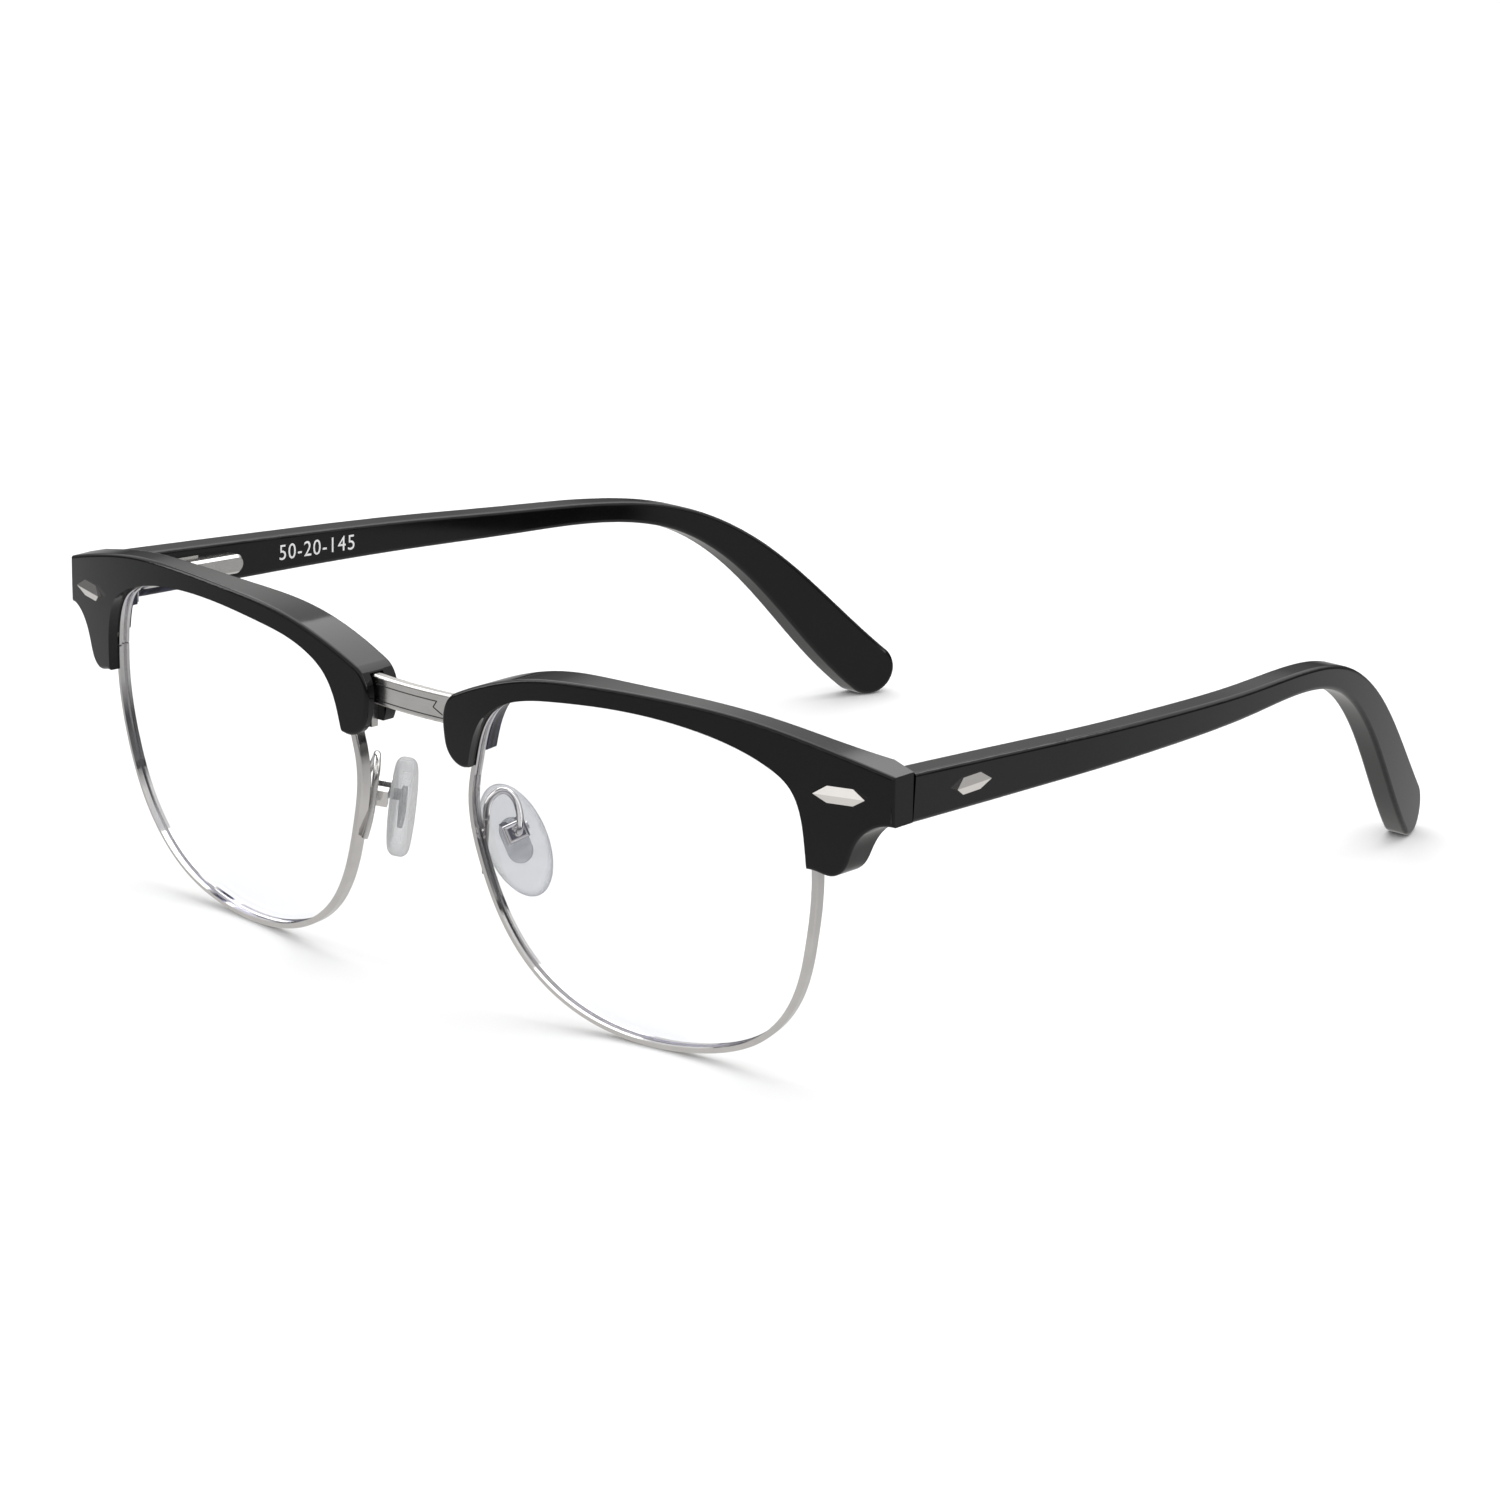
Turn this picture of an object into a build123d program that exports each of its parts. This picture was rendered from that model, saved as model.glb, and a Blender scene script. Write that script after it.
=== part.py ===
from build123d import *
from math import cos, hypot, radians, sin, tan
import os

# Half rim (browline) eyeglasses, standing open on the rims and the temple tips.
# +Z is up, the front faces -Y and the temples run towards +Y. Every paired piece is drawn for the
# wearer's left side (+X) and mirrored to the right. Unless a name says otherwise, y is measured from
# the centre of the lens's front and z from the surface that the glasses stand on, in millimetres.

# ---- lens and eyewire
lens_x = 34.1              # lens centre from the middle of the bridge
lens_z = 18.95             # lens centre above the ground
wrap = 6.77                # each lens turned out towards its temple, degrees
tilt = 8.36                # top of the front leaning forwards, degrees
base_radius = 115.3        # base curve of the lens and the eyewire
rim_width = 0.8            # eyewire, across the front
rim_depth = 1.55           # eyewire, front to back
rim_round = 0.25
groove_depth = 0.35        # lens groove inside the eyewire
groove_width = 0.7
lens_thick = 1.3
lens_set_back = 0.1        # lens's front behind the eyewire's
rim_split = 0.2            # gap where the eyewire is cut and screwed shut
split_height = 12.0        # of that gap, above the lens centre
seat_gap = 0.03            # between pieces that lie against each other on curved faces

# ---- brow
brow_proud = 0.8           # brow's front face ahead of the eyewire's, at the lens centre
brow_radius = 150.0        # curve of the brow's front face
brow_round = 0.45          # edge round
brow_lip = 0.55            # brow covering the eyewire's edge, seen from the front
end_x = 70.2               # outer face of the endpiece
end_back = 10.1            # back face of the endpiece
slot_front, slot_back = -1.7, 0.6      # slot for the bridge foot, y
slot_top = 39.9
slot_reach = 11.6                      # slot's depth, x
boss_x = (61.4, 67.0)      # thicker back of the endpiece, which carries the hinge leaf
boss_z = (35.9, 40.3)
back_lobe_low = 33.4       # nasal lobe is shorter behind the slot

# ---- bridge
bridge_height = 3.75
bridge_top = 39.75
bridge_thick = 1.4
bridge_round = 0.3
bridge_front = -1.65       # y of the front face in the middle
bridge_bow = 0.8           # how far its ends lie behind its middle
bridge_half = 9.4          # half of its length, its ends in the brows' slots
foot_thick = 1.1
foot_start = 8.0
foot_low, foot_high = 32.6, 39.6
brow_screw_x, brow_screw_z = 9.0, 36.4
brow_screw_radius, brow_screw_head = 0.5, 0.85

# ---- temple
temple_gap = 0.3           # between the brow and the temple
temple_thick = 3.6
temple_round = 0.5
temple_x = 68.4            # middle of the temple's thickness at the hinge
temple_z = 38.1            # middle of its height at the hinge
temple_drop = 3.4          # slope down to the bend, degrees
temple_run = 88.0          # hinge to bend
bend_radius = 41.0
bend_angle = 42.0
tip_radius = 3.7
toe_start = 30.0           # straight part before the temple curves in
toe_radius = 327.0
toe_angle = 1.7
# half heights of the temple at stations along its middle line
temple_half_heights = ((0, 3.05), (18, 2.75), (36, 2.4), (55, 2.07), (73, 1.72), (88, 1.5), (101, 1.75),
                       (115, 2.6), (129, 3.4))
core_height, core_thick = 1.2, 0.8
core_start = 20.0          # station where the core wire starts
core_end_margin = 14.0     # core wire ends this far before the tip's centre

# ---- spring hinge, measured from the hinge pin: x outwards, y along the temple, z along the pin
pin_x, pin_y = 65.6, 12.2
pin_radius = 0.5
pin_clearance = 0.03
barrel_radius = 1.3
knuckle_height = 1.0       # each of the two knuckles on the front leaf
slider_knuckle = 1.1
knuckle_gap = 0.05
screw_head_radius, screw_head_height = 0.85, 0.4
driver_slot = 0.3
leaf_thick = 0.6
leaf_x = (61.8, 66.3)
leaf_height = 4.1
box_start, box_end = 2.0, 20.0
box_height, box_depth = 2.6, 3.0
box_edge = 0.35
flange_x = (0.55, 0.95)
flange_height, flange_end = 3.1, 18.0
bore_radius, bore_wall = 0.85, 1.4
rod_radius, rod_clearance = 0.4, 0.1
tang_width = 1.4
head_radius, head_start, head_length = 0.75, 15.4, 0.7
shoulder_gap = 0.05
spring_radius, spring_wire, spring_pitch = 0.6, 0.2, 0.62
spring_start, spring_end = 3.4, 13.8
pocket_margin = 0.35

# ---- nose pads
pad_centre = (9.8, 6.8, 20.3)
pad_down = (0.313, 0.235, -0.922)      # along the pad, towards its lower end
pad_normal = (-0.816, 0.561, -0.134)   # towards the nose
pad_length, pad_width, pad_thick = 15.0, 7.8, 2.6
pad_round = 1.0
insert_length, insert_width, insert_thick = 6.0, 3.2, 0.5
lug_radius, lug_thick = 0.6, 0.8
holder_length, holder_width, holder_depth = 2.5, 2.9, 2.2
holder_wall = 0.4
holder_round = 0.5
holder_up = 1.9                        # holder above the pad's centre, along the pad
lug_gap = 0.15
pad_clearance = 0.45                   # between the pad's back and its holder
pad_screw_radius = 0.3
pad_screw_head = (0.5, 0.3)            # radius and height
arm_radius = 0.45
# pad arm from its foot on the eyewire over its loop: x, y, z
arm_route = ((10.45, 0.7, 17.5), (9.85, 1.15, 20.5), (9.6, 1.6, 24.0), (9.75, 2.2, 26.6), (10.8, 3.3, 27.7),
             (12.2, 4.2, 26.4))
arm_lead = 1.0                         # straight run aimed at the middle of the holder's back

# ---- studs and small screws
stud_length, stud_height, stud_rise = 6.6, 2.1, 0.55
post_radius, post_spacing = 0.4, 3.2
post_gap = 0.15            # between a temple stud's posts and the spring box
front_stud_x, front_stud_z = 63.95, 38.4
temple_stud_y, temple_stud_z = 21.2, 37.6
block_size = 1.5           # closing blocks, along the eyewire and front to back
block_width = 1.7
block_edge = 26.35         # eyewire's outer edge at the blocks, from the lens centre
lock_screw_radius, lock_screw_head = 0.45, 0.7
lock_head_height = 0.5

# ---- worked out from the sizes above
start_y = end_back + temple_gap
total_drop = temple_drop + bend_angle
bend_y = start_y + temple_run * cos(radians(temple_drop))
bend_z = temple_z - temple_run * sin(radians(temple_drop))
bend_out_y = bend_y + bend_radius * (sin(radians(total_drop)) - sin(radians(temple_drop)))
bend_out_z = bend_z - bend_radius * (cos(radians(temple_drop)) - cos(radians(total_drop)))
tip_run = (bend_out_z - tip_radius) / sin(radians(total_drop))
tip_y = bend_out_y + tip_run * cos(radians(total_drop))
brow_front_y = -3.4
origin_back = (tip_y + tip_radius + brow_front_y) / 2      # part's origin behind the lens centre

FRONT = Plane(origin=(0, -origin_back, 0), x_dir=(1, 0, 0), z_dir=(0, -1, 0))
PLAN = Plane(origin=(0, -origin_back, 0), x_dir=(1, 0, 0), z_dir=(0, 0, 1))
SIDE = Plane(origin=(0, -origin_back, 0), x_dir=(0, 1, 0), z_dir=(1, 0, 0))


def place(x, y, z):
    """Point in the row's frame from x, y behind the lens centre and z above the ground."""
    return Vector(x, y - origin_back, z)


def lens_frame():
    """Plane at the lens's centre: x towards the temple, y up and z out of the front."""
    w, t = radians(wrap), radians(tilt)
    across = (cos(w), sin(w) * cos(t), sin(w) * sin(t))
    forward = (sin(w), -cos(w) * cos(t), -cos(w) * sin(t))
    return Plane(origin=place(lens_x, 0, lens_z), x_dir=across, z_dir=forward)


LENS = lens_frame()

# outside of the eyewire seen along the lens's axis, from the temple side upwards
rim_outline = ((25.57, 0.0), (26.5, 6.5), (26.35, 12.8), (24.65, 19.0), (20.5, 22.1), (12.4, 24.65),
               (1.1, 25.65), (-9.0, 25.0), (-16.5, 23.4), (-21.5, 19.85), (-23.7, 13.85),
               (-24.75, 9.0), (-23.47, 0.0), (-20.62, -7.5), (-16.09, -13.5), (-10.0, -17.31),
               (0.0, -19.39), (8.8, -18.75), (16.2, -16.2), (22.0, -10.4))

outline_samples = 40

# brow seen from the front: x, z
brow_top = ((8.3, 40.8), (14.1, 43.3), (21.3, 45.3), (30.5, 46.25), (42.6, 46.45), (52.6, 45.7),
            (62.0, 43.75), (end_x, 41.4))
brow_under = ((end_x, 35.2), (67.7, 34.75), (66.2, 33.5), (65.0, 31.1), (64.0, 28.9), (62.6, 28.1),
              (60.9, 28.4), (59.2, 28.5))
brow_inside = ((59.2, 28.5), (52.0, 30.0), (34.0, 37.0), (16.0, 33.0), (10.1, 31.75))
brow_nasal = ((10.1, 31.75), (8.6, 32.0), (7.1, 33.4), (6.55, 35.4), (6.45, 37.8), (7.0, 39.5), (8.3, 40.8))
# back of the brow seen from above: x, y
brow_back = ((0.0, 2.75), (12.0, 2.7), (20.0, 2.6), (28.0, 2.15), (34.0, 2.0), (44.0, 2.9), (56.0, 5.6),
             (63.0, 8.2), (66.5, 10.1))


def dome(front, radius, thick):
    """Slab of even thickness, curved as a sphere whose front lies `front` ahead of the lens plane."""
    half = 20.0
    edge = Plane(LENS.location * Pos(0, 0, front - radius) * Rot(0, half, 0))
    cut = Plane(origin=edge.origin, x_dir=edge.z_dir, z_dir=-edge.x_dir)
    with BuildPart() as slab:
        with BuildSketch(cut):
            with BuildLine():
                outer = CenterArc((0, 0), radius, -half, 2 * half)
                inner = CenterArc((0, 0), radius - thick, -half, 2 * half)
                Line(outer @ 0, inner @ 0)
                Line(outer @ 1, inner @ 1)
            make_face()
        revolve(axis=Axis(edge.origin, LENS.y_dir), revolution_arc=-2 * half)
    return slab.part


def lens_column(inset):
    """Straight column along the lens's axis, `inset` inside the eyewire's outline."""
    outline = Spline(*rim_outline, periodic=True)
    edge_points = []
    for i in range(outline_samples):
        along = outline % (i / outline_samples)
        edge_points.append(outline @ (i / outline_samples) + inset * Vector(-along.Y, along.X))
    with BuildPart() as column:
        with BuildSketch(LENS.offset(8)):
            with BuildLine():
                Spline(*edge_points, periodic=True)
            make_face()
        extrude(amount=-24)
    return column.part


def write(name, part):
    part.label = name
    export_step(part, f"parts/{name}.step")


def write_pair(name, part):
    """The piece as drawn is the wearer's left one, and its mirror image is the right one."""
    write(f"{name}_left", part)
    write(f"{name}_right", mirror(part, about=Plane.YZ))


def side_point(s):
    """Point and slope (degrees down) at a station of the temple's middle line, seen from the side."""
    bend = min(max((s - temple_run) / bend_radius, 0), radians(bend_angle))
    angle = radians(temple_drop) + bend
    run = min(s, temple_run)
    tail = max(s - temple_run - bend_radius * radians(bend_angle), 0)
    y = (start_y + run * cos(radians(temple_drop)) + bend_radius * (sin(angle) - sin(radians(temple_drop)))
         + tail * cos(angle))
    z = (temple_z - run * sin(radians(temple_drop)) - bend_radius * (cos(radians(temple_drop)) - cos(angle))
         - tail * sin(angle))
    return y, z, angle


def temple_edge(side):
    """Points along the temple's upper (+1) or lower (-1) edge, ending where the round tip starts."""
    tip_station = temple_run + bend_radius * radians(bend_angle) + tip_run
    points = []
    for s, half in (*temple_half_heights, (tip_station, tip_radius)):
        y, z, angle = side_point(s)
        points.append((y + side * half * sin(angle), z + side * half * cos(angle)))
    return points


def plan_band(thick):
    """Temple's curve seen from above, as an upright wall of even thickness."""
    lead = 4
    heading = 90 + toe_angle
    with BuildPart() as band:
        with BuildSketch(PLAN):
            with BuildLine():
                ends = []
                for side in (1, -1):
                    shift = side * thick / 2
                    first = (temple_x + shift * cos(radians(toe_angle)) + lead * sin(radians(toe_angle)),
                             start_y - lead + shift * sin(radians(toe_angle)))
                    straight = PolarLine(first, toe_start + lead, heading)
                    curve = JernArc(straight @ 1, straight % 1, toe_radius + shift, 30)
                    ends.append((straight @ 0, curve @ 1))
                Line(ends[0][0], ends[1][0])
                Line(ends[0][1], ends[1][1])
            make_face()
        extrude(amount=60)
    return band.part


def rod(start, direction, radius, length):
    """Round rod from a point of the row's frame."""
    with BuildPart() as bar:
        with BuildSketch(Plane(origin=start, z_dir=direction)):
            Circle(radius)
        extrude(amount=length)
    return bar.part


def block(plane, x_range, y_range, z_range):
    """Box between limits along a plane's own axes."""
    with BuildPart() as solid:
        with BuildSketch(plane.offset(z_range[0])):
            with Locations(((x_range[0] + x_range[1]) / 2, (y_range[0] + y_range[1]) / 2)):
                Rectangle(x_range[1] - x_range[0], y_range[1] - y_range[0])
        extrude(amount=z_range[1] - z_range[0])
    return solid.part


def barrel(plane, radius, z_range):
    """Cylinder about a plane's own z axis."""
    with BuildPart() as solid:
        with BuildSketch(plane.offset(z_range[0])):
            Circle(radius)
        extrude(amount=z_range[1] - z_range[0])
    return solid.part


def stud(plane, post_length):
    """Faceted lozenge with a ridge along it, on two posts."""
    half, corner, high = stud_length / 2, stud_length / 4, stud_height / 2
    with BuildPart() as shape:
        with BuildSketch(plane):
            with BuildLine():
                Polyline((-half, 0), (-corner, high), (corner, high), (half, 0), (corner, -high),
                         (-corner, -high), close=True)
            make_face()
        extrude(amount=stud_rise)
        with BuildSketch(Plane(origin=plane.from_local_coords((-half, 0, 0)), x_dir=plane.y_dir,
                               z_dir=plane.x_dir)):
            with BuildLine():
                edge = 0.25 * stud_rise
                Polyline((-high, 0), (-high, edge), (0, stud_rise), (high, edge), (high, 0), close=True)
            make_face()
        extrude(amount=stud_length, mode=Mode.INTERSECT)
        with BuildSketch(plane):
            with Locations((-post_spacing / 2, 0), (post_spacing / 2, 0)):
                Circle(post_radius)
        extrude(amount=-post_length)
    return shape.part


os.makedirs("parts", exist_ok=True)

groove_front = (rim_depth - groove_width) / 2

# ======== planes that the small pieces are drawn on
HINGE = Plane(origin=place(pin_x, pin_y, temple_z - (pin_y - start_y) * tan(radians(temple_drop))),
              x_dir=(1, 0, 0), z_dir=(0, sin(radians(temple_drop)), cos(radians(temple_drop))))
PAD = Plane(origin=place(*pad_centre), x_dir=pad_down, z_dir=pad_normal)
holder_back = pad_thick / 2 + pad_clearance + holder_depth
HOLDER = Plane(origin=PAD.from_local_coords((-holder_up, 0, holder_depth / 2 - holder_back)),
               x_dir=PAD.x_dir, z_dir=PAD.z_dir)
block_sag = (block_edge ** 2 + split_height ** 2) / (2 * base_radius)
BLOCKS = Plane(origin=LENS.from_local_coords((block_edge + block_width / 2, split_height,
                                              -block_sag - rim_depth / 2)),
               x_dir=LENS.x_dir, z_dir=LENS.y_dir)
brow_centre = LENS.from_local_coords((0, 0, brow_proud - brow_radius))
stud_out = hypot(front_stud_x - brow_centre.X, front_stud_z - brow_centre.Z)
stud_point = Vector(front_stud_x, brow_centre.Y - (brow_radius ** 2 - stud_out ** 2) ** 0.5, front_stud_z)
FRONT_STUD = Plane(origin=stud_point, x_dir=(1, (front_stud_x - brow_centre.X) / brow_radius, 0),
                   z_dir=stud_point - brow_centre)
toe = radians(toe_angle)
temple_outer_x = temple_x + temple_thick / 2 / cos(toe) - (temple_stud_y - start_y) * tan(toe)
TEMPLE_STUD = Plane(origin=place(temple_outer_x, temple_stud_y, temple_stud_z),
                    x_dir=(-sin(toe), cos(toe), 0), z_dir=(cos(toe), sin(toe), 0))

# ======== eyewires, lenses and the screws that close the eyewires
with BuildPart() as eyewire:
    add(lens_column(0))
    add(lens_column(rim_width), mode=Mode.SUBTRACT)
    add(dome(0, base_radius, rim_depth), mode=Mode.INTERSECT)
    fillet(eyewire.edges().sort_by(SortBy.LENGTH)[-2:], rim_round)
    add(lens_column(rim_width - groove_depth)
        & dome(-groove_front, base_radius - groove_front, groove_width), mode=Mode.SUBTRACT)
    add(block(BLOCKS, (-4, 4), (-4, 4), (-rim_split / 2, rim_split / 2)), mode=Mode.SUBTRACT)

with BuildPart() as lens:
    add(lens_column(rim_width + seat_gap) & dome(-lens_set_back, base_radius - lens_set_back, lens_thick))
    add(lens_column(rim_width - groove_depth + seat_gap)
        & dome(-groove_front - seat_gap, base_radius - groove_front - seat_gap, groove_width - 2 * seat_gap))

with BuildPart() as lock_screw:
    add(barrel(BLOCKS, lock_screw_radius, (-block_size - rim_split / 2, block_size + rim_split / 2)))
    add(barrel(BLOCKS, lock_screw_head,
               (-block_size - rim_split / 2 - lock_head_height, -block_size - rim_split / 2)))

for level, low in (("upper", rim_split / 2), ("lower", -rim_split / 2 - block_size)):
    with BuildPart() as closing_block:
        add(block(BLOCKS, (-block_width / 2 - 0.3, block_width / 2), (-block_size / 2, block_size / 2),
                  (low, low + block_size)))
        add(lens_column(0), mode=Mode.SUBTRACT)
        add(lock_screw.part, mode=Mode.SUBTRACT)
    write_pair(f"closing_block_{level}", closing_block.part)

write_pair("eyewire", eyewire.part)
write_pair("lens", lens.part)
write_pair("rim_lock_screw", lock_screw.part)

# ======== bridge, with a foot down the nasal side of each eyewire
with BuildPart() as brow_screw:
    add(rod(place(brow_screw_x, slot_back - foot_thick, brow_screw_z), (0, 1, 0), brow_screw_radius,
            brow_back[0][1] - slot_back + foot_thick))
    add(rod(place(brow_screw_x, brow_back[0][1] - 0.5, brow_screw_z), (0, 1, 0), brow_screw_head, 0.4))
    add(block(PLAN, (brow_screw_x - driver_slot / 2, brow_screw_x + driver_slot / 2),
              (brow_back[0][1] - 0.3, brow_back[0][1] + 1), (brow_screw_z - 2, brow_screw_z + 2)),
        mode=Mode.SUBTRACT)

end_front = bridge_front + bridge_bow
with BuildPart() as bridge:
    with BuildSketch(PLAN.offset(bridge_top - bridge_height)):
        with BuildLine():
            ThreePointArc((-bridge_half, end_front), (0, bridge_front), (bridge_half, end_front))
            Line((bridge_half, end_front), (bridge_half, end_front + bridge_thick))
            ThreePointArc((bridge_half, end_front + bridge_thick), (0, bridge_front + bridge_thick),
                          (-bridge_half, end_front + bridge_thick))
            Line((-bridge_half, end_front + bridge_thick), (-bridge_half, end_front))
        make_face()
    extrude(amount=bridge_height)
    fillet(bridge.edges().filter_by(GeomType.CIRCLE), bridge_round)
    foot = (block(PLAN, (foot_start, slot_reach - seat_gap),
                  (slot_back - seat_gap - foot_thick, slot_back - seat_gap),
                  (foot_low, foot_high)) - lens_column(0) - brow_screw.part)
    add(foot)
    add(mirror(foot, about=Plane.YZ))
    add(brow_screw.part, mode=Mode.SUBTRACT)
    add(mirror(brow_screw.part, about=Plane.YZ), mode=Mode.SUBTRACT)
write("bridge", bridge.part)
write_pair("brow_screw", brow_screw.part)

# ======== front studs and the hinge leaves that they hold
front_stud = stud(FRONT_STUD, end_back - 4.0)
leaf_mid = (boss_z[0] + boss_z[1]) / 2
knuckle_end = slider_knuckle / 2 + knuckle_gap + knuckle_height
with BuildPart() as front_leaf:
    add(block(PLAN, leaf_x, (end_back, end_back + leaf_thick),
              (leaf_mid - leaf_height / 2, leaf_mid + leaf_height / 2)))
    for low, high in ((knuckle_end - knuckle_height, knuckle_end),
                      (-knuckle_end, knuckle_height - knuckle_end)):
        add(barrel(HINGE, barrel_radius, (low, high)))
        add(block(HINGE, (-barrel_radius, barrel_radius), (end_back - pin_y + leaf_thick / 2, 0),
                  (low, high)))
    add(barrel(HINGE, pin_radius + pin_clearance, (-4, 4)), mode=Mode.SUBTRACT)
    add(front_stud, mode=Mode.SUBTRACT)
write_pair("front_leaf", front_leaf.part)
write_pair("front_stud", front_stud)

# ======== brows
with BuildPart() as brow:
    with BuildSketch(FRONT.offset(8)):
        with BuildLine():
            Spline(*brow_top)
            Line(brow_top[-1], brow_under[0])
            Spline(*brow_under)
            Polyline(*brow_inside)
            Spline(*brow_nasal)
        make_face()
    extrude(amount=-24)
    with BuildSketch(PLAN.offset(20)):
        with BuildLine():
            back = Spline(*brow_back)
            Polyline(back @ 1, (end_x + 2, end_back), (end_x + 2, -12), (0, -12), back @ 0)
        make_face()
    extrude(amount=35, mode=Mode.INTERSECT)
    add(dome(brow_proud, brow_radius, 30), mode=Mode.INTERSECT)
    front_face = brow.faces().filter_by(lambda face: face.normal_at().Y < -0.7).sort_by(SortBy.AREA)[-1]
    fillet(front_face.edges().filter_by(lambda edge: edge.center().Z > 38 or not 8 < edge.center().X < 60),
           brow_round)
    fillet(brow.edges().filter_by(lambda edge: edge.length > 50 and edge.center().Y > -origin_back),
           brow_round)
    add(block(PLAN, boss_x, (end_back - 3.5, end_back), boss_z))
    add(lens_column(brow_lip), mode=Mode.SUBTRACT)
    add(lens_column(-seat_gap) & dome(seat_gap, base_radius + seat_gap, rim_depth + 2 * seat_gap),
        mode=Mode.SUBTRACT)
    add(block(PLAN, (4, slot_reach), (slot_front, slot_back), (25, slot_top)), mode=Mode.SUBTRACT)
    add(block(PLAN, (4, slot_reach), (slot_back - 0.1, 5), (25, back_lobe_low)), mode=Mode.SUBTRACT)
    add(block(BLOCKS, (-block_width, block_width / 2 + 0.2), (-block_size / 2 - 0.1, 6),
              (-block_size - lock_head_height - 1, block_size + 0.4)), mode=Mode.SUBTRACT)
    add(brow_screw.part, mode=Mode.SUBTRACT)
    add(front_stud, mode=Mode.SUBTRACT)
write_pair("brow", brow.part)

# ======== nose pads, their inserts, holders, screws and arms
with BuildPart() as pad_insert:
    with BuildSketch(PAD.offset(-insert_thick / 2)):
        SlotOverall(insert_length, insert_width)
    extrude(amount=insert_thick)
    add(block(HOLDER, (-lug_radius, lug_radius), (-lug_thick / 2, lug_thick / 2),
              (0, holder_back - holder_depth / 2)))
    with BuildSketch(Plane(origin=HOLDER.from_local_coords((0, -lug_thick / 2, 0)), x_dir=HOLDER.x_dir,
                           z_dir=HOLDER.y_dir)):
        Circle(lug_radius)
    extrude(amount=lug_thick)
    add(rod(HOLDER.from_local_coords((0, -2, 0)), HOLDER.y_dir, pad_screw_radius + pin_clearance, 4),
        mode=Mode.SUBTRACT)

with BuildPart() as nose_pad:
    with BuildSketch(PAD.offset(-pad_thick / 2)):
        Ellipse(pad_length / 2, pad_width / 2)
    extrude(amount=pad_thick)
    fillet(nose_pad.edges().group_by(Axis(PAD.origin, PAD.z_dir))[-1], pad_round)
    fillet(nose_pad.edges().group_by(Axis(PAD.origin, PAD.z_dir))[0], pad_round)
    add(pad_insert.part, mode=Mode.SUBTRACT)

half_width = holder_width / 2
with BuildPart() as pad_screw:
    add(rod(HOLDER.from_local_coords((0, -half_width, 0)), HOLDER.y_dir, pad_screw_radius, holder_width))
    add(rod(HOLDER.from_local_coords((0, -half_width - pad_screw_head[1], 0)), HOLDER.y_dir,
            pad_screw_head[0], pad_screw_head[1]))

with BuildPart() as pad_holder:
    add(block(HOLDER, (-holder_length / 2, holder_length / 2), (-half_width, half_width),
              (-holder_depth / 2, holder_depth / 2)))
    fillet(pad_holder.faces().sort_by(Axis(HOLDER.origin, HOLDER.z_dir))[0].edges(), holder_round)
    add(block(HOLDER, (-holder_length, holder_length), (-lug_thick / 2 - lug_gap, lug_thick / 2 + lug_gap),
              (holder_wall - holder_depth / 2, holder_depth)), mode=Mode.SUBTRACT)
    add(pad_screw.part, mode=Mode.SUBTRACT)

arm_end = HOLDER.from_local_coords((0, 0, -holder_depth / 2))
arm_points = [place(*point) for point in arm_route] + [arm_end - arm_lead * HOLDER.z_dir, arm_end]
with BuildPart() as pad_arm:
    with BuildLine():
        arm_path = Spline(*arm_points)
    with BuildSketch(Plane(origin=arm_path @ 0, z_dir=arm_path % 0)):
        Circle(arm_radius)
    sweep(path=arm_path)
    add(eyewire.part, mode=Mode.SUBTRACT)
    add(pad_holder.part, mode=Mode.SUBTRACT)

for name, part in (("pad_insert", pad_insert.part), ("nose_pad", nose_pad.part),
                   ("pad_screw", pad_screw.part), ("pad_holder", pad_holder.part), ("pad_arm", pad_arm.part)):
    write_pair(name, part)

# ======== spring hinges
with BuildPart() as hinge_screw:
    add(barrel(HINGE, pin_radius, (-knuckle_end, knuckle_end)))
    add(barrel(HINGE, screw_head_radius, (knuckle_end, knuckle_end + screw_head_height)))
    add(block(HINGE, (-2, 2), (-driver_slot / 2, driver_slot / 2),
              (knuckle_end + screw_head_height / 2, knuckle_end + 2)), mode=Mode.SUBTRACT)

ROD = Plane(origin=HINGE.origin, x_dir=HINGE.x_dir, z_dir=HINGE.y_dir)
with BuildPart() as hinge_slider:
    add(barrel(HINGE, barrel_radius, (-slider_knuckle / 2, slider_knuckle / 2)))
    add(block(HINGE, (-tang_width / 2, tang_width / 2), (0, box_start - shoulder_gap),
              (-slider_knuckle / 2, slider_knuckle / 2)))
    add(barrel(ROD, rod_radius, (box_start - 0.5, head_start)))
    add(barrel(ROD, head_radius, (head_start, head_start + head_length)))
    add(barrel(HINGE, pin_radius + pin_clearance, (-2, 2)), mode=Mode.SUBTRACT)

with BuildPart() as spring_box:
    with BuildSketch(Plane(origin=HINGE.from_local_coords((-box_depth / 2, 0, 0)), x_dir=HINGE.y_dir,
                           z_dir=HINGE.x_dir)):
        with Locations(((box_start + box_end - box_height / 2) / 2, 0)):
            Rectangle(box_end - box_start - box_height / 2, box_height)
        with Locations((box_end - box_height / 2, 0)):
            Circle(box_height / 2)
    extrude(amount=box_depth)
    chamfer(spring_box.edges().group_by(Axis.X)[0], box_edge)
    add(block(HINGE, flange_x, (box_start, flange_end), (-flange_height / 2, flange_height / 2)))
    add(barrel(ROD, bore_radius, (box_start + bore_wall, box_end - bore_wall)), mode=Mode.SUBTRACT)
    add(barrel(ROD, rod_radius + rod_clearance, (box_start - 1, box_start + 2 * bore_wall)),
        mode=Mode.SUBTRACT)

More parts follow.
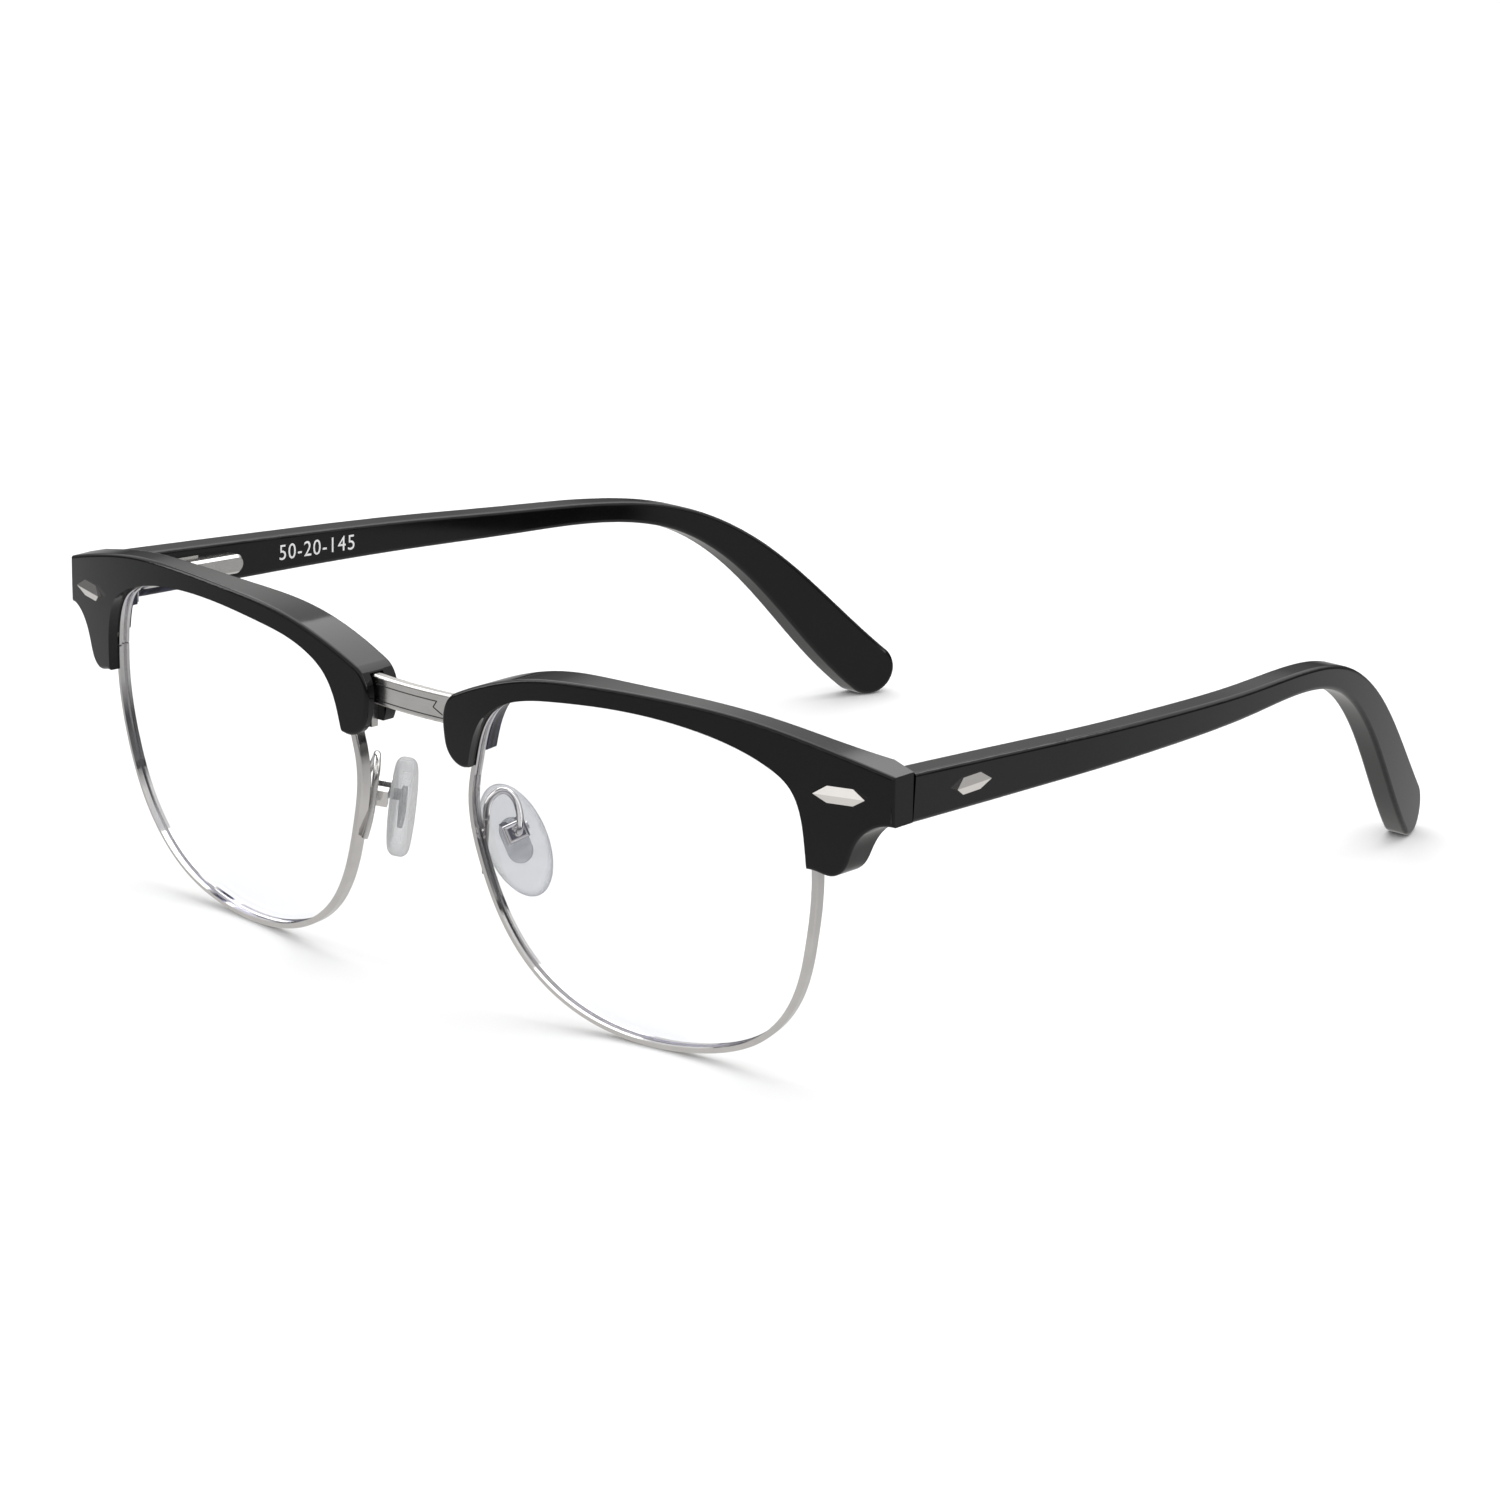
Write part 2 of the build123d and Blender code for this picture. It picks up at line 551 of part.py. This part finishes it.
with BuildPart() as hinge_spring:
    with BuildLine():
        coil = Helix(spring_pitch, spring_end - spring_start, spring_radius,
                     center=ROD.from_local_coords((0, 0, spring_start)), direction=ROD.z_dir)
    with BuildSketch(Plane(origin=coil @ 0, z_dir=coil % 0)):
        Circle(spring_wire / 2)
    sweep(path=coil)

for name, part in (("hinge_screw", hinge_screw.part), ("hinge_slider", hinge_slider.part),
                   ("spring_box", spring_box.part), ("hinge_spring", hinge_spring.part)):
    write_pair(name, part)

# ======== temples with their core wires and studs
temple_stud = stud(TEMPLE_STUD, temple_outer_x - pin_x - box_depth / 2 - post_gap)
with BuildPart() as temple_core:
    with BuildSketch(SIDE.offset(40)):
        with BuildLine():
            first = side_point(core_start)
            line = Line(first[:2], (bend_y, bend_z))
            curve = JernArc(line @ 1, line % 1, bend_radius, -bend_angle)
            PolarLine(curve @ 1, tip_run - core_end_margin, -total_drop)
        trace(line_width=core_height)
    extrude(amount=35)
    add(plan_band(core_thick), mode=Mode.INTERSECT)

with BuildPart() as temple:
    with BuildSketch(SIDE.offset(40)):
        with BuildLine():
            upper = Spline(*temple_edge(1))
            lower = Spline(*temple_edge(-1))
            Line(upper @ 0, lower @ 0)
            ThreePointArc(upper @ 1, (tip_y + tip_radius * cos(radians(total_drop)),
                                      tip_radius - tip_radius * sin(radians(total_drop))), lower @ 1)
        make_face()
    extrude(amount=35)
    add(plan_band(temple_thick), mode=Mode.INTERSECT)
    fillet(temple.edges().filter_by(lambda edge: edge.length > 4.5
                                    and edge.center().Y > start_y + 1 - origin_back), temple_round)
    add(block(HINGE, (-4, barrel_radius + pocket_margin), (-6, box_start + 0.1),
              (-knuckle_end - pocket_margin, knuckle_end + pocket_margin)), mode=Mode.SUBTRACT)
    add(spring_box.part, mode=Mode.SUBTRACT)
    add(block(HINGE, (-box_depth / 2, box_depth / 2), (box_start, box_end - box_height / 2),
              (-box_height / 2, box_height / 2)), mode=Mode.SUBTRACT)
    add(temple_core.part, mode=Mode.SUBTRACT)
    add(temple_stud, mode=Mode.SUBTRACT)

write_pair("temple_core", temple_core.part)
write_pair("temple", temple.part)
write_pair("temple_stud", temple_stud)
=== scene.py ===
import math

import bpy
from mathutils import Matrix, Vector


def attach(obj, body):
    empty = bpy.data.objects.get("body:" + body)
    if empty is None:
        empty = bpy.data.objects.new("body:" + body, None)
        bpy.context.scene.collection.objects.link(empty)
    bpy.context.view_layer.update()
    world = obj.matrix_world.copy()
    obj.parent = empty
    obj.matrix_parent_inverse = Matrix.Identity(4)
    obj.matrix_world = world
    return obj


# Browline eyeglasses: black acetate brows and temples, polished eyewires, satin bridge,
# faceted studs, clear lenses and silicone nose pads. Metres; sizes below are in millimetres.

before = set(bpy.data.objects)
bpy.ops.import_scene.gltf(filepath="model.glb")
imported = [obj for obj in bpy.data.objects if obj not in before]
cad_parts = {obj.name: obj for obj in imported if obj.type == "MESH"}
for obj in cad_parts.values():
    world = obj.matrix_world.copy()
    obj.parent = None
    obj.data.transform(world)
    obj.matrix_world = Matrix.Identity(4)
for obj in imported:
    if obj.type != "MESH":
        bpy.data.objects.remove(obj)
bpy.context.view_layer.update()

MM = 0.001
BACK = 71.056          # origin behind the centre of the lens's front
BRIDGE_FRONT, BRIDGE_BOW_RADIUS = -1.65, 55.6
BRIDGE_MIDDLE = 37.875
TEMPLE_X, TEMPLE_START, TEMPLE_HALF = 68.4, 10.4, 1.8
TOE_START, TOE_RADIUS, TOE = 30.0, 327.0, math.radians(1.7)


# ---------------------------------------------------------------- shader maths

class Value:
    """A shader socket that can be used in sums."""

    def __init__(self, paint, socket):
        self.paint, self.socket = paint, socket

    def _maths(self, operation, first, second):
        return self.paint.node("Math", {"operation": operation}, {0: first, 1: second})

    def __add__(self, other):
        return self._maths("ADD", self, other)

    def __radd__(self, other):
        return self._maths("ADD", other, self)

    def __sub__(self, other):
        return self._maths("SUBTRACT", self, other)

    def __rsub__(self, other):
        return self._maths("SUBTRACT", other, self)

    def __mul__(self, other):
        return self._maths("MULTIPLY", self, other)

    def __rmul__(self, other):
        return self._maths("MULTIPLY", other, self)

    def __pow__(self, other):
        return self._maths("POWER", self, other)


class Finish:
    """A node material and the one method that adds nodes to it."""

    def __init__(self, name, tree=None):
        self.material = None if tree else bpy.data.materials.new(name)
        if self.material:
            self.material.use_nodes = True
            tree = self.material.node_tree
        self.tree = tree
        self.tree.nodes.clear()

    def node(self, kind, settings=None, inputs=None, output=0):
        node = self.tree.nodes.new("ShaderNode" + kind)
        for key, value in (settings or {}).items():
            if key == "stops":
                for stop, (place, colour) in zip(self._stops(node, len(value)), value):
                    stop.position = place
                    stop.color = (*colour, 1)
            else:
                setattr(node, key, value)
        for key, value in (inputs or {}).items():
            if isinstance(value, Value):
                self.tree.links.new(value.socket, node.inputs[key])
            else:
                node.inputs[key].default_value = value
        return Value(self, node.outputs[output])

    def _stops(self, node, count):
        stops = node.color_ramp.elements
        while len(stops) < count:
            stops.new(0.5)
        return stops

    def spots(self, size, detail=3, stretch=(1, 1, 1)):
        """Noise between 0 and 1 with spots of about that size in millimetres."""
        where = self.node("TexCoord", output=3)
        where = self.node("Mapping", {}, {0: where, 3: stretch})
        return self.node("TexNoise", {}, {"Vector": where, "Scale": 1 / (size * MM), "Detail": detail})

    def mix(self, factor, first, second):
        return self.node("Mix", {"data_type": "RGBA"}, {0: factor, 6: (*first, 1), 7: (*second, 1)}, 2)

    def bump(self, height, depth):
        """Relief of that depth in millimetres."""
        return self.node("Bump", {}, {"Strength": 1.0, "Distance": depth * MM, "Height": height})

    def done(self, shader):
        end = self.tree.nodes.new("ShaderNodeOutputMaterial")
        self.tree.links.new(shader.socket, end.inputs[0])
        return self.material


def polished_acetate():
    f = Finish("polished_acetate")
    haze = f.spots(9.0, 2)
    buffing = f.spots(2.5, 2, (1, 0.25, 1))
    return f.done(f.node("BsdfPrincipled", {}, {
        "Base Color": f.mix(haze, (0.0012, 0.0012, 0.0014), (0.0028, 0.0028, 0.0031)),
        "Roughness": 0.03 + 0.04 * haze + 0.02 * buffing,
        "IOR": 1.40, "Normal": f.bump(f.spots(20.0, 0), 0.01)}))


def metal(name, pale, dark, rough, swing, stretch, relief):
    """Metal whose colour and gloss drift a little along its grain."""
    f = Finish(name)
    cloud = f.spots(3.0, 3)
    grain = f.spots(0.35, 4, stretch)
    return f.done(f.node("BsdfPrincipled", {}, {
        "Base Color": f.mix(cloud, dark, pale),
        "Metallic": 1.0,
        "Roughness": rough + swing * grain,
        "Normal": f.bump(grain, relief)}))


def coated_lens():
    """Clear lens: nearly all of it is see-through, with a faint blue-violet coating."""
    f = Finish("coated_lens")
    edge = f.node("Fresnel", {}, {"IOR": 1.35})
    drift = f.spots(25.0, 1)
    coating = f.node("BsdfPrincipled", {}, {
        "Base Color": f.mix(drift, (0.42, 0.46, 0.95), (0.62, 0.60, 0.98)),
        "Metallic": 1.0, "Roughness": 0.02})
    clear = f.node("BsdfTransparent", {}, {"Color": (0.992, 0.995, 0.997, 1)})
    return f.done(f.node("MixShader", {}, {0: 0.07 * edge, 1: clear, 2: coating}))


def soft_silicone():
    """Clear silicone, denser where it is seen edge on."""
    f = Finish("soft_silicone")
    edge = f.node("LayerWeight", {}, {"Blend": 0.35}, 1)
    cloud = f.spots(2.2, 3)
    body = f.node("BsdfPrincipled", {}, {
        "Base Color": f.mix(cloud, (0.36, 0.363, 0.366), (0.50, 0.503, 0.506)),
        "Roughness": 0.12 + 0.1 * cloud, "IOR": 1.42,
        "Normal": f.bump(cloud, 0.03)})
    clear = f.node("BsdfTransparent", {}, {"Color": (0.90, 0.905, 0.91, 1)})
    return f.done(f.node("MixShader", {}, {0: 0.16 + 0.75 * edge + 0.10 * cloud, 1: clear, 2: body}))


def clear_insert():
    f = Finish("clear_insert")
    cloud = f.spots(1.0, 2)
    body = f.node("BsdfPrincipled", {}, {
        "Base Color": f.mix(cloud, (0.30, 0.31, 0.32), (0.45, 0.46, 0.47)), "Roughness": 0.15 + 0.1 * cloud})
    clear = f.node("BsdfTransparent", {}, {"Color": (0.96, 0.97, 0.98, 1)})
    return f.done(f.node("MixShader", {}, {0: 0.35 + 0.1 * cloud, 1: clear, 2: body}))


def size_print():
    f = Finish("size_print")
    wear = f.spots(0.5, 4)
    return f.done(f.node("BsdfPrincipled", {}, {
        "Base Color": f.mix(wear, (0.50, 0.50, 0.50), (0.72, 0.72, 0.72)), "Roughness": 0.4 + 0.1 * wear}))


def painted_groove_shade():
    # Dark metal lines take the place of the bridge's engraved grooves. Their dark colour is painted groove shade,
    # with spots of random tone.
    f = Finish("painted_groove_shade")
    groove_shade_drift = f.spots(0.3, 3)
    return f.done(f.node("BsdfPrincipled", {}, {
        "Base Color": f.mix(groove_shade_drift, (0.03, 0.03, 0.03), (0.10, 0.10, 0.10)),
        "Metallic": 1.0, "Roughness": 0.4 + 0.2 * groove_shade_drift}))


ACETATE = polished_acetate()
POLISHED = metal("polished_nickel", (0.74, 0.725, 0.71), (0.60, 0.59, 0.58), 0.06, 0.06, (1, 1, 1), 0.002)
SATIN = metal("satin_nickel", (0.80, 0.78, 0.76), (0.64, 0.63, 0.61), 0.18, 0.12, (0.15, 1, 2), 0.004)
BRIGHT = metal("bright_stud", (0.92, 0.89, 0.86), (0.82, 0.80, 0.78), 0.05, 0.06, (1, 1, 1), 0.001)
HINGE_METAL = metal("hinge_metal", (0.74, 0.73, 0.71), (0.60, 0.59, 0.58), 0.18, 0.14, (1, 0.2, 1), 0.004)
STEEL = metal("screw_steel", (0.62, 0.62, 0.62), (0.46, 0.46, 0.47), 0.22, 0.15, (1, 1, 0.3), 0.004)

FINISHES = {
    "brow": ACETATE, "temple": ACETATE, "eyewire": POLISHED, "pad_arm": POLISHED, "pad_holder": POLISHED,
    "bridge": SATIN, "front_stud": BRIGHT, "temple_stud": BRIGHT, "front_leaf": HINGE_METAL,
    "spring_box": HINGE_METAL, "hinge_slider": HINGE_METAL, "closing_block_upper": HINGE_METAL,
    "closing_block_lower": HINGE_METAL, "temple_core": STEEL, "hinge_screw": STEEL, "hinge_spring": STEEL,
    "brow_screw": STEEL, "rim_lock_screw": STEEL, "pad_screw": STEEL, "lens": coated_lens(),
    "nose_pad": soft_silicone(), "pad_insert": clear_insert()}

for name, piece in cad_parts.items():
    finish = FINISHES[name.removesuffix("_left").removesuffix("_right")]
    for held in piece.material_slots:
        held.material = finish


# ---------------------------------------------------------------- engraved lines on the bridge

def link(mesh, name):
    piece = bpy.data.objects.new(name, mesh)
    bpy.context.scene.collection.objects.link(piece)
    return piece


def line_tree(finish):
    """Geometry Nodes tree: round line along the given edges."""
    tree = bpy.data.node_groups.new("engraved_line", "GeometryNodeTree")
    tree.interface.new_socket("Geometry", in_out="INPUT", socket_type="NodeSocketGeometry")
    width = tree.interface.new_socket("Line Radius", in_out="INPUT", socket_type="NodeSocketFloat")
    tree.interface.new_socket("Geometry", in_out="OUTPUT", socket_type="NodeSocketGeometry")
    nodes, links = tree.nodes, tree.links
    start, end = nodes.new("NodeGroupInput"), nodes.new("NodeGroupOutput")
    curve = nodes.new("GeometryNodeMeshToCurve")
    round_profile = nodes.new("GeometryNodeCurvePrimitiveCircle")
    round_profile.inputs["Resolution"].default_value = 8
    tube = nodes.new("GeometryNodeCurveToMesh")
    tube.inputs["Fill Caps"].default_value = True
    real = nodes.new("GeometryNodeRealizeInstances")
    paint = nodes.new("GeometryNodeSetMaterial")
    paint.inputs["Material"].default_value = finish
    links.new(start.outputs[0], curve.inputs[0])
    links.new(start.outputs[1], round_profile.inputs["Radius"])
    links.new(curve.outputs[0], tube.inputs[0])
    links.new(round_profile.outputs[0], tube.inputs[1])
    links.new(tube.outputs[0], real.inputs[0])
    links.new(real.outputs[0], paint.inputs[0])
    links.new(paint.outputs[0], end.inputs[0])
    return tree, width.identifier


def grown(mesh, name, tree, inputs):
    """Plain mesh object that a Geometry Nodes tree makes from mesh."""
    seed = link(mesh, name + "_seed")
    grower = seed.modifiers.new("grow", "NODES")
    grower.node_group = tree
    for key, value in inputs.items():
        grower[key] = value
    ready = seed.evaluated_get(bpy.context.evaluated_depsgraph_get())
    result = bpy.data.meshes.new_from_object(ready)
    bpy.data.objects.remove(seed)
    return link(result, name)


def bridge_point(x, z):
    """Point on the bridge's front face, a hair inside it."""
    y = BRIDGE_FRONT + BRIDGE_BOW_RADIUS - math.sqrt(BRIDGE_BOW_RADIUS ** 2 - x * x)
    return Vector((x, y - BACK + 0.03, z)) * MM


def engraved_lines():
    """Two long dark lines stand in for the grooves, their darkness painted shade; the upper one ends in a step
    like a flash.
    """
    high, low = BRIDGE_MIDDLE + 0.78, BRIDGE_MIDDLE - 1.22
    lines = [[(-6.4, high), (4.05, high), (3.5, BRIDGE_MIDDLE - 0.05), (5.0, BRIDGE_MIDDLE - 0.8)],
             [(-6.4, low), (6.1, low)]]
    points, edges = [], []
    for line in lines:
        for (x0, z0), (x1, z1) in zip(line, line[1:]):
            steps = max(2, round(abs(x1 - x0)))
            first = len(points)
            for i in range(steps + 1):
                t = i / steps
                points.append(bridge_point(x0 + t * (x1 - x0), z0 + t * (z1 - z0)))
            edges += [(first + i, first + i + 1) for i in range(steps)]
    mesh = bpy.data.meshes.new("bridge_lines")
    mesh.from_pydata(points, edges, [])
    tree, radius = line_tree(painted_groove_shade())
    lines = grown(mesh, "bridge_lines", tree, {radius: 0.09 * MM})
    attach(lines, "front")


# ---------------------------------------------------------------- size numerals inside a temple

def inside_x(y):
    """x of the left temple's inner face at y behind the lens centre."""
    straight_end = TEMPLE_START + TOE_START * math.cos(TOE)
    if y < straight_end:
        return TEMPLE_X - TEMPLE_HALF / math.cos(TOE) - (y - TEMPLE_START) * math.tan(TOE)
    centre_x = TEMPLE_X - TOE_START * math.sin(TOE) - TOE_RADIUS * math.cos(TOE)
    centre_y = straight_end - TOE_RADIUS * math.sin(TOE)
    return centre_x + math.sqrt((TOE_RADIUS - TEMPLE_HALF) ** 2 - (y - centre_y) ** 2)


def size_numerals(text, start, height, drop):
    letters = bpy.data.curves.new("size_numerals", "FONT")
    letters.body = text
    letters.size = height
    letters.extrude = 0.0
    letters.space_character = 1.12
    holder = bpy.data.objects.new("size_numerals_seed", letters)
    bpy.context.scene.collection.objects.link(holder)
    mesh = bpy.data.meshes.new_from_object(holder.evaluated_get(bpy.context.evaluated_depsgraph_get()))
    bpy.data.objects.remove(holder)
    for corner in mesh.vertices:
        y = start + corner.co.x
        z = 38.1 - (y - TEMPLE_START) * math.tan(math.radians(3.4)) + drop + corner.co.y
        corner.co = Vector((-inside_x(y) + 0.03, y - BACK, z)) * MM
    mesh.materials.clear()
    mesh.materials.append(size_print())
    numerals = link(mesh, "size_numerals")
    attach(numerals, "temple_right")


engraved_lines()
size_numerals("50-20-145", 40.0, 3.0, -0.9)


# ---------------------------------------------------------------- floor, light and camera

def floor():
    side = 3.0
    mesh = bpy.data.meshes.new("floor")
    mesh.from_pydata([(-side, -side, 0), (side, -side, 0), (side, side, 0), (-side, side, 0)], [], [(0, 1, 2, 3)])
    f = Finish("pale_floor")
    mesh.materials.append(f.done(f.node("BsdfPrincipled", {}, {
        "Base Color": (0.68, 0.68, 0.68, 1), "Roughness": 0.9, "Specular IOR Level": 0.0})))
    sheet = link(mesh, "floor")
    sheet.visible_glossy = False


def softbox(name, at, towards, size, power):
    lamp = bpy.data.lights.new(name, "AREA")
    lamp.shape = "RECTANGLE"
    lamp.size, lamp.size_y = size
    lamp.energy = power
    box = bpy.data.objects.new(name, lamp)
    bpy.context.scene.collection.objects.link(box)
    box.location = at
    box.rotation_euler = (Vector(at) - Vector(towards)).to_track_quat("Z", "Y").to_euler()


def room():
    """White to look at; dim and graded, brighter above, in reflections."""
    world = bpy.data.worlds.new("room")
    world.use_nodes = True
    bpy.context.scene.world = world
    f = Finish("room", world.node_tree)
    direction = f.node("TexCoord", output=0)
    height = f.node("SeparateXYZ", {}, {0: direction}, 2)
    grade = f.node("ValToRGB", {"stops": ((0.20, (0.70, 0.69, 0.68)), (0.38, (0.50, 0.50, 0.50)), (0.48, (0.08, 0.08, 0.08)),
                                          (0.56, (0.20, 0.20, 0.20)), (0.66, (0.95, 0.94, 0.93)),
                                          (1.0, (0.8, 0.8, 0.82)))},
                   {0: height * 0.5 + 0.5})
    seen = f.node("LightPath", output=0)
    reflected = f.node("LightPath", output=3)
    white = f.node("Background", {}, {"Color": (1, 1, 1, 1), "Strength": 1.0})
    graded = f.node("Background", {}, {"Color": grade, "Strength": 1.0})
    mixed = f.node("MixShader", {}, {0: reflected, 1: white, 2: graded})
    end = f.tree.nodes.new("ShaderNodeOutputWorld")
    f.tree.links.new(mixed.socket, end.inputs[0])


def camera():
    yaw, pitch, roll = 0.715009, 0.290451, 0.0216004
    forward = Vector((-math.sin(yaw) * math.cos(pitch), math.cos(yaw) * math.cos(pitch), -math.sin(pitch)))
    right = Vector((math.cos(yaw), math.sin(yaw), 0))
    up = right.cross(forward)
    turned_right = math.cos(roll) * right + math.sin(roll) * up
    turned_up = math.cos(roll) * up - math.sin(roll) * right
    lens = bpy.data.cameras.new("camera")
    lens.lens, lens.sensor_width = 36 * 6104.9 / 1500, 36
    lens.clip_start, lens.clip_end = 0.01, 20
    eye = bpy.data.objects.new("camera", lens)
    bpy.context.scene.collection.objects.link(eye)
    turn = Matrix((turned_right, turned_up, -forward)).transposed().to_4x4()
    eye.matrix_world = Matrix.Translation((0.502328, -0.587860, 0.247259)) @ turn
    bpy.context.scene.camera = eye


floor()
room()
softbox("top_box", (-0.15, 0.25, 0.75), (0, 0, 0), (1.3, 0.9), 7)
softbox("front_box", (-0.9, -0.5, 0.55), (0, -0.05, 0.02), (0.35, 0.9), 2.5)
softbox("side_box", (0.9, -0.1, 0.5), (0, 0, 0.02), (0.25, 0.9), 2)
camera()
bpy.context.scene.view_settings.view_transform = "Standard"
